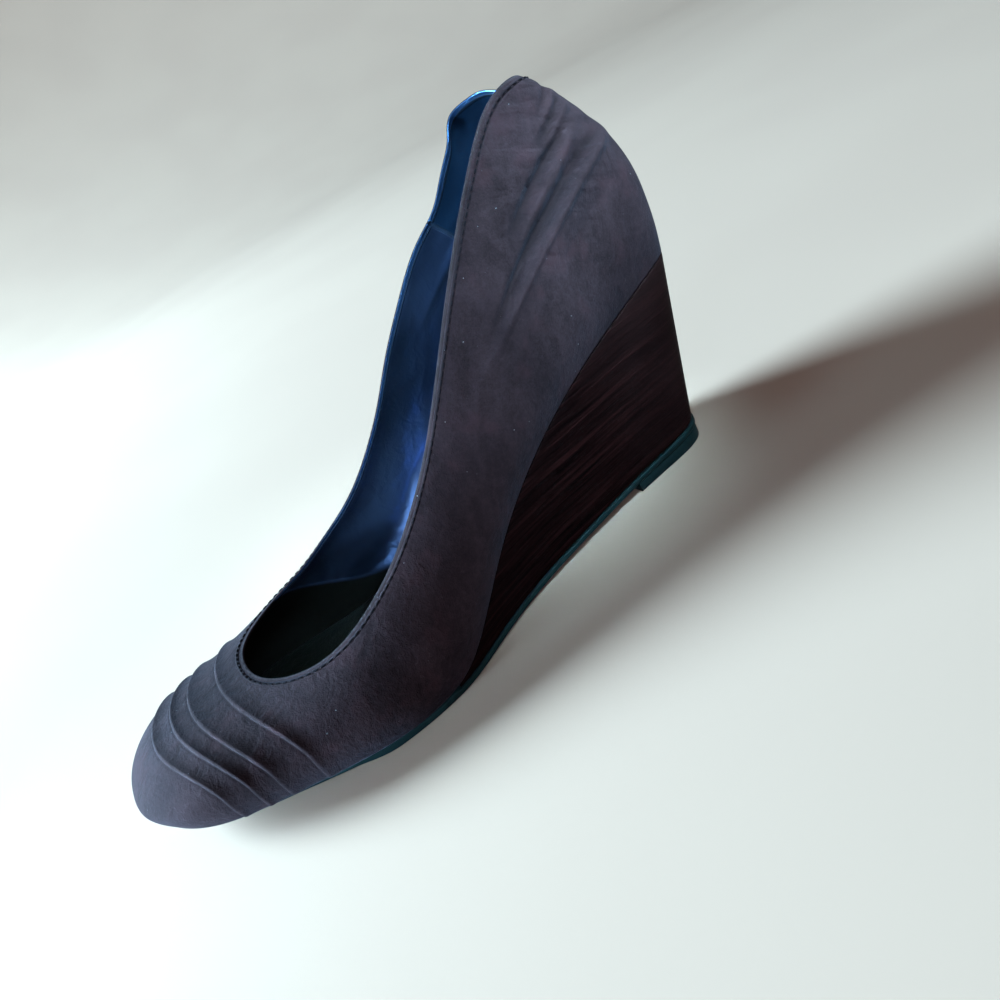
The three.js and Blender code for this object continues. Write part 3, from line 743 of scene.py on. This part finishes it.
def suede_finish():
    """Charcoal suede: mottled nap brushed two ways, pale dust, painted shade in the creases and a few specks of
    lint.
    """
    suede = Finish("charcoal_suede", Roughness=0.95, Specular_IOR_Level=0.04,
                   Sheen_Weight=0.035, Sheen_Roughness=0.4)
    suede.shader.inputs["Sheen Tint"].default_value = (0.60, 0.66, 1.0, 1.0)
    rim = suede.attribute("rim")
    painted_crease_shade = suede.attribute("painted_crease_shade")
    slack = suede.attribute("slack")
    cloud = suede.noise(30.0, 3.0, 0.6, 0.4).step(0.30, 0.72)
    brushed = suede.noise(7.0, 4.0, 0.65, 0.8, at=suede.place((1.0, 1.0, 0.5), (0, 25, 0))).step(0.30, 0.72)
    speck = suede.noise(1.6, 4.0, 0.75).step(0.35, 0.75)
    nap = suede.noise(0.5, 4.0, 0.75)
    tone = cloud * 0.35 + brushed * 0.35 + speck * 0.35 + (nap - 0.5) * 0.9
    grey = suede.blend((0.0060, 0.0033, 0.0044), (0.0236, 0.0134, 0.0168), tone)
    warm = suede.noise(13.0, 3.0, 0.6).step(0.52, 0.72)
    grey = suede.blend(grey, (0.0265, 0.0118, 0.0150), warm * 0.5)
    dust = suede.noise(2.4, 5.0, 0.8, 0.3).step(0.58, 0.80) * suede.noise(38.0, 2.0, 0.5).step(0.38, 0.60)
    grey = suede.blend(grey, (0.048, 0.034, 0.041), dust * 0.6)
    worn = 1.0 - (rim + (nap - 0.5) * 0.6).step(0.1, 0.8)
    grey = suede.blend(grey, (0.052, 0.047, 0.053), worn * 0.6)
    channel = 1.0 - ((rim - 1.7) * (rim - 1.7)).step(0.03, 0.4)
    # this dark colour is painted shade: in the creases and under the tucks' lips, and at half strength along
    # the stitch groove
    grey = suede.blend(grey, (0.0045, 0.0028, 0.0036), (painted_crease_shade * 0.9).most(channel * 0.45))
    lint = suede.noise(0.65, 0.0, 0.0).step(0.885, 0.905)
    grey = suede.blend(grey, (0.20, 0.21, 0.24), lint * 0.6)
    wrinkle = suede.noise(4.5, 2.0, 0.45, 0.5, at=suede.place((0.28, 0.6, 1.0), (0, 24, 0)))
    suede.relief(wrinkle * slack, 1.1)
    suede.relief(channel * -1.0, 0.3)
    suede.relief(brushed, 0.15)
    suede.relief(speck * 0.6 + nap * 0.6, 0.16)
    return suede.done(Base_Color=grey)


# where the heel grip ends, its seam, and where the lining turns black: lengths, which lean with the height
GRIP_END = (24.2, 25.0)
GRIP_SEAM = 24.8
BLACK_START = (122.5, 126.5)


def lining_finish():
    """Blue metallic quarters with a painted highlight on the rolled edge, a blue suede heel grip, black towards
    the toe.
    """
    lining = Finish("blue_lining", Specular_IOR_Level=0.05)
    rim = lining.attribute("rim")
    ahead = lining.attribute("ahead")
    high = lining.attribute("high")
    wrinkle = lining.noise(24.0, 2.0, 0.45, 0.6, at=lining.place((1.0, 1.0, 0.6), (0, 40, 0)))
    crumple = lining.noise(6.0, 2.0, 0.5, 0.4)
    grain = lining.noise(0.6, 3.0, 0.6)
    edge = (wrinkle - 0.5) * 1.6
    past_grip = ahead - high * 0.6 + edge
    grip = 1.0 - past_grip.step(*GRIP_END)
    # ahead of a slanted line towards the toe the lining turns black, dull and not metallic
    toe = (ahead - high * 1.6 + edge * 2.0).step(*BLACK_START)
    rolled_edge_highlight = 1.0 - rim.step(1.5, 1.9)
    # painted shading: the blue is lighter on the wrinkles' crests and darker in their hollows, following the
    # relief
    blue = lining.blend((0.022, 0.036, 0.074), (0.058, 0.084, 0.172), wrinkle.step(0.32, 0.72))
    # the lining's rolled edge is painted a brighter blue: a painted highlight where the edge catches the light
    colour = lining.blend(blue, (0.040, 0.095, 0.220), rolled_edge_highlight)
    colour = lining.blend(colour, (0.0010, 0.0060, 0.0170), grip * (1.0 - rolled_edge_highlight))
    colour = lining.blend(colour, (0.0026, 0.0026, 0.0022), toe)
    seams = 1.0 - ((past_grip - GRIP_SEAM) * (past_grip - GRIP_SEAM)).step(0.1, 0.8)
    seams = seams.most(1.0 - ((rim - 2.1) * (rim - 2.1)).step(0.02, 0.14))
    colour = lining.blend(colour, (0.003, 0.006, 0.012), seams * 0.85)
    dull = (grip * (1.0 - rolled_edge_highlight)).most(toe).most(seams)
    lining.relief(wrinkle, 2.2)
    lining.relief(crumple, 0.45)
    lining.relief(grain, 0.05)
    lining.relief(seams * -1.0, 0.4)
    gloss = 0.30 + grain * 0.08 + 0.5 * dull
    return lining.done(Base_Color=colour, Metallic=0.9 * (1.0 - dull), Roughness=gloss)


def make_upper():
    """The suede with its rolled edge and the lining, which stand for the upper together."""
    points, faces, painted_crease_shade, slack = suede_points()
    values = {"rim": edge_distance(points), "painted_crease_shade": painted_crease_shade, "slack": slack}
    skin = add_piece("upper_suede", points, faces, suede_finish(), values, ("upper",))
    points, faces, high = lining_points()
    values = {"rim": edge_distance(points), "ahead": points[:, 0], "high": high}
    add_piece("upper_lining", points, faces, lining_finish(), values, ("upper",))
    return skin


upper = make_upper()


# Topline stitches
# One row of dark thread round the opening, a little below its folded edge. It holds the fold, the suede and
# the lining together, and each stitch is sunk a little into the suede.
STITCH_STEP = 2.45
STITCH_BELOW = 1.7
STITCH_SUNK = 0.06
# from the stitch's middle along the thread, radius there
STITCH = np.array([
    (-0.85, 0.0),
    (-0.82, 0.12),
    (-0.66, 0.22),
    (-0.3, 0.28),
    (0.3, 0.28),
    (0.66, 0.22),
    (0.82, 0.12),
    (0.85, 0.0),
])


def make_stitches(skin):
    """Capsules laid along the edge at even steps and dropped onto the suede's surface."""
    corners = [v.co[:] for v in skin.data.vertices]
    tree = BVHTree.FromPolygons(corners, [p.vertices[:] for p in skin.data.polygons])
    steps = np.linalg.norm(np.diff(edge_points, axis=0, append=edge_points[:1]), axis=1)
    run = np.concatenate([[0], np.cumsum(steps)])
    count = int(round(run[-1] / STITCH_STEP))
    at = (np.arange(count) + 0.5) * run[-1] / count
    line = edge_points - STITCH_BELOW * edge_outwards
    spots = np.stack([np.interp(at, run, np.append(line[:, k], line[0, k])) for k in range(3)], -1)
    found = [tree.find_nearest(Vector(spot))[:2] for spot in ((spots - MIDDLE) / 1000).tolist()]
    centres = np.array([f[0][:] for f in found]) * 1000 + MIDDLE
    ups = np.array([f[1][:] for f in found])
    along = np.roll(centres, -1, 0) - np.roll(centres, 1, 0)
    along = unit(along - ups * (along * ups).sum(-1, keepdims=True))
    across = np.cross(ups, along)
    turn = np.linspace(0, 2 * np.pi, 9)[:, None]
    spoke = np.cos(turn) * across[:, None, None] + np.sin(turn) * ups[:, None, None]
    sunk = centres[:, None, None] - STITCH_SUNK * ups[:, None, None]
    middle = sunk + along[:, None, None] * STITCH[:, :1, None]
    points = middle + STITCH[:, 1:, None] * spoke
    block = grid_faces(len(STITCH), len(turn), 0, True)
    starts = np.arange(count) * len(STITCH) * len(turn)
    faces = (block[None] + starts[:, None, None]).reshape(-1, 4)
    thread = Finish("dark_thread", Roughness=0.9, Specular_IOR_Level=0.02)
    twist = thread.noise(0.35, 2.0, 0.5)
    thread.relief(twist, 0.06)
    colour = thread.blend((0.0015, 0.0012, 0.0020), (0.0060, 0.0045, 0.0065), twist)
    add_piece("topline_stitches", points.reshape(-1, 3), faces, thread.done(Base_Color=colour))


make_stitches(upper)


# Insole
# Padded sock of pewter metallic leather glued over the insole board: one sheet with rounded rims, which lies
# inside the upper from the heel to the toe, on the wedge and the sole.
SOCK = 2.4
SOCK_ROUND = 0.7


def feather_sheet(angles, across, levels, edge):
    """A closed sheet between two heights; edge(angles, side, level) is its side wall, level 0 at the bottom."""
    left = np.stack([edge(angles, 1, level) for level in levels])
    right = np.stack([edge(angles, -1, level) for level in levels])
    share = np.linspace(0, 1, across + 1)[:, None, None]
    under = left[0] + (right[0] - left[0]) * share
    over = left[-1] + (right[-1] - left[-1]) * share[::-1]
    points = np.concatenate([under, right[1:-1], over, left[-2:0:-1]]).transpose(1, 0, 2)
    rows, count = points.shape[:2]
    low = np.arange(rows - 1)[:, None] * count + np.arange(count)[None]
    after = np.arange(rows - 1)[:, None] * count + ((np.arange(count) + 1) % count)[None]
    faces = [np.stack([low, low + count, after + count, after], -1).reshape(-1, 4)]
    k = np.arange(across)
    facing = 2 * across + len(levels) - 1 - k
    rise = np.arange(across + 1, across + len(levels) - 1)
    fall = np.arange(2 * across + len(levels) - 1, count - 1)
    cap = np.concatenate([
        np.stack([k, k + 1, facing - 1, facing], -1),
        np.stack([np.full(len(rise), across), rise, rise + 1, rise + 1], -1),
        np.stack([np.zeros(len(fall), int), fall, fall + 1, fall + 1], -1),
    ])
    if np.ptp(points[0, :, 1]) > 0.5:
        faces.append(cap)
    if np.ptp(points[-1, :, 1]) > 0.5:
        faces.append(cap[:, ::-1] + (rows - 1) * count)
    return points.reshape(-1, 3), np.concatenate(faces)


def row_angles(start, end, count, turns=()):
    """Even angles between two lengths, and one at each length where the form turns."""
    even = np.linspace(angle_of(start / LENGTH), angle_of(end / LENGTH), count + 1)
    return np.unique(np.append(even, [angle_of(x / LENGTH) for x in turns]))


def rounded_levels(height, radius, steps):
    """Levels of a wall and how far each lies in from the widest: quarter circles at the bottom and the top."""
    turn = np.linspace(0, np.pi / 2, steps)
    low = [(radius * (1 - math.cos(t)) / height, radius * (1 - math.sin(t))) for t in turn]
    return low + [(1 - level, inset) for level, inset in reversed(low)]


def pewter_finish():
    """Pewter leather: fine pebble grain, a soft metallic sheen, cloudy wear and painted shade over the
    forepart.
    """
    sock = Finish("pewter_leather", Coat_Weight=0.1, Coat_Roughness=0.3)
    grain = sock.node("ShaderNodeTexVoronoi", output="Distance", settings={"feature": "F1"},
                      Vector=sock.place(), Scale=1.0 / 0.9)
    cloud = sock.noise(18.0, 3.0, 0.55).step(0.3, 0.7)
    fine = sock.noise(0.4, 3.0, 0.6)
    colour = sock.blend((0.20, 0.20, 0.185), (0.33, 0.33, 0.305), cloud * 0.7 + fine * 0.3)
    painted_forepart_shade = (sock.attribute("ahead") + cloud * 12.0).step(96.0, 146.0)
    # painted shade: the forepart lies deep inside the toe, where little light falls
    colour = sock.blend(colour, (0.030, 0.044, 0.040), painted_forepart_shade * 0.9)
    sock.relief(grain, 0.10)
    sock.relief(cloud, 0.5)
    return sock.done(Base_Color=colour, Metallic=0.85 + 0.1 * cloud, Roughness=0.34 + 0.12 * fine)


def make_insole():
    """A sheet on the seat, a wall and a gap in from the feather edge."""
    levels = rounded_levels(SOCK, SOCK_ROUND, 5)

    def edge(angles, side, level):
        point = feather_point(angles, side, WALL + GAP + level[1])
        point[:, 2] = seat_height(point[:, 0]) + SOCK * level[0]
        return point

    points, faces = feather_sheet(row_angles(0, LENGTH, 130), 20, levels, edge)
    add_piece("insole_sock", points, faces, pewter_finish(), {"ahead": points[:, 0]}, ("insole",))


make_insole()

# Wedge
# Stacked wedge heel, thick under the heel and run out before the ball: thin dark red-brown layers seen on
# edge and sealed, with painted light behind, and glued between the upper's underside and the sole.
FOOT_LEAN = 14.2
WEDGE_END = 142.8
WEDGE_ROUND = 0.8
WEDGE_HEIGHT = 55.0
LIFT = 4.9
FLAT_FROM = 0.60 * LENGTH
FLAT_TO = 0.70 * LENGTH


def sole_under(x):
    """The outsole's underside: up behind to the lift, flat at the ball, up with the seat at the toe."""
    front = np.maximum(seat_height(x) - GAP - SOLE, 0) * smooth((x - FLAT_TO) / (0.06 * LENGTH))
    behind = (LIFT + GAP) * np.clip((FLAT_FROM - x) / (FLAT_FROM - FOOT_LEAN), 0, 1)
    return np.where(x > FLAT_TO, front, behind)


def sole_top(x):
    """The outsole's top: a sole's thickness up under the wedge, a gap under the upper ahead of it."""
    rear = sole_under(x) + SOLE
    front = seat_height(x) - GAP
    return rear + (front - rear) * smooth((x - WEDGE_END - GAP) / 2.5)


def foot_point(angles, side, grow):
    """The outline under the wedge: the feather edge brought forward at the heel."""
    point = feather_point(angles, side, -grow)
    point[:, 0] += FOOT_LEAN * np.clip(1 - share_of(angles) / 0.5, 0, 1) ** 1.5
    return point


def wedge_finish():
    """Layers as streaks long along the floor and thin in height, a little wavy, with painted light towards the
    heel.
    """
    wood = Finish("stacked_wedge", Specular_IOR_Level=0.01)
    painted_rear_light = 1.0 - wood.attribute("ahead").step(18.0, 62.0)
    sway = wood.noise(30.0, 2.0, 0.5)
    spot = wood.place((0.03, 0.03, 1.0), (0, 0.6, 0))
    wave = wood.node("ShaderNodeCombineXYZ", Z=sway * 1.6)
    swayed = wood.node("ShaderNodeMapping", Vector=spot, Location=wave)
    layer = wood.noise(1.1, 3.0, 0.6, at=swayed).step(0.42, 0.72)
    fine = wood.noise(0.45, 3.0, 0.65, at=swayed).step(0.34, 0.66)
    pore = wood.noise(0.5, 2.0, 0.6, at=wood.place((0.10, 0.10, 1.4), (0, 0.6, 0))).step(0.60, 0.74)
    cloud = wood.noise(26.0, 2.0, 0.5).step(0.3, 0.7)
    colour = wood.blend((0.0005, 0.0002, 0.0003), (0.0120, 0.0034, 0.0036), layer * 0.6 + fine * 0.3)
    # painted light: lighter and redder towards the heel, where light falls on it from behind
    colour = wood.blend(colour, (0.0150, 0.0068, 0.0072), (cloud * 0.3 + 0.25) * painted_rear_light)
    colour = wood.blend(colour, (0.0030, 0.0020, 0.0022), pore * 0.7)
    wood.relief(layer * 0.5 + fine * 0.5 - pore * 0.4, 0.14)
    return wood.done(Base_Color=colour, Roughness=0.5 + 0.15 * fine)


def make_wedge():
    """A sheet from the feather edge down to the outline under it, with rounded rims."""
    rims = rounded_levels(WEDGE_HEIGHT, WEDGE_ROUND, 5)
    levels = rims[:5] + [(t, 0.0) for t in np.linspace(0.06, 0.94, 15)] + rims[5:]

    def edge(angles, side, level):
        top = feather_point(angles, side, level[1])
        foot = foot_point(angles, side, -level[1])
        point = foot + (top - foot) * level[0]
        low = sole_under(foot[:, 0]) + SOLE + GAP
        high = seat_height(top[:, 0]) - GAP
        point[:, 2] = low + (high - low) * level[0]
        return point

    points, faces = feather_sheet(row_angles(0, WEDGE_END, 110), 16, levels, edge)
    add_piece("wedge_heel", points, faces, wedge_finish(), {"ahead": points[:, 0]}, ("wedge",))


make_wedge()


# Outsole and top lift
# Thin dark teal rubber sole glued under the toe, the ball and the wedge, and the thicker rubber lift that is
# nailed and glued under the heel.
SOLE_ROUND = 0.35
SOLE_EDGE = 0.6
TOE_SHY = 3.2
LIFT_ROUND = 0.4
LIFT_EDGE = 0.2
LIFT_FRONT = 45.1


def rubber_finish(name, tread):
    """Satin rubber: a fine even grain, faint scuffs, and shallow cross ribs on what faces the floor."""
    rubber = Finish(name, Specular_IOR_Level=0.06)
    grain = rubber.noise(0.35, 2.0, 0.5)
    scuff = rubber.noise(7.0, 4.0, 0.7, 0.5).step(0.45, 0.8)
    colour = rubber.blend((0.0025, 0.0085, 0.0100), (0.0075, 0.0210, 0.0235), scuff * 0.6 + grain * 0.3)
    rubber.relief(grain, 0.03)
    if tread:
        facing = rubber.node("ShaderNodeNewGeometry", output="Normal")
        down = rubber.node("ShaderNodeSeparateXYZ", output="Z", Vector=facing)
        ribs = rubber.node("ShaderNodeTexWave", output="Fac", Vector=rubber.place((0.4, 0, 0)), Scale=0.35)
        rubber.relief(ribs * (down * -1.0).step(0.6, 0.9), 0.25)
    return rubber.done(Base_Color=colour, Roughness=0.5 + 0.15 * scuff)


def make_outsole():
    """A thin sheet that stands out a little from the upper, less so at the toe."""
    levels = rounded_levels(SOLE, SOLE_ROUND, 3)

    def edge(angles, side, level):
        grow = SOLE_EDGE - TOE_SHY * smooth((share_of(angles) - 0.55) / 0.4) - level[1]
        point = foot_point(angles, side, grow)
        low = sole_under(point[:, 0])
        point[:, 2] = low + (sole_top(point[:, 0]) - low) * level[0]
        return point

    turns = [WEDGE_END + GAP + t for t in (0.0, 0.6, 1.25, 1.9, 2.5)] + [FLAT_FROM, FLAT_TO]
    points, faces = feather_sheet(row_angles(0, LENGTH, 140, turns), 16, levels, edge)
    add_piece("rubber_sole", points, faces, rubber_finish("sole_rubber", True), {}, ("outsole",))


def make_lift():
    """A block on the floor with its top a gap under the sole."""
    levels = rounded_levels(LIFT, LIFT_ROUND, 4)

    def edge(angles, side, level):
        point = foot_point(angles, side, LIFT_EDGE - level[1])
        point[:, 2] = (sole_under(point[:, 0]) - GAP) * level[0]
        return point

    points, faces = feather_sheet(row_angles(0, LIFT_FRONT, 50), 12, levels, edge)
    add_piece("heel_lift", points, faces, rubber_finish("lift_rubber", False), {}, ("top_lift",))


make_outsole()
make_lift()
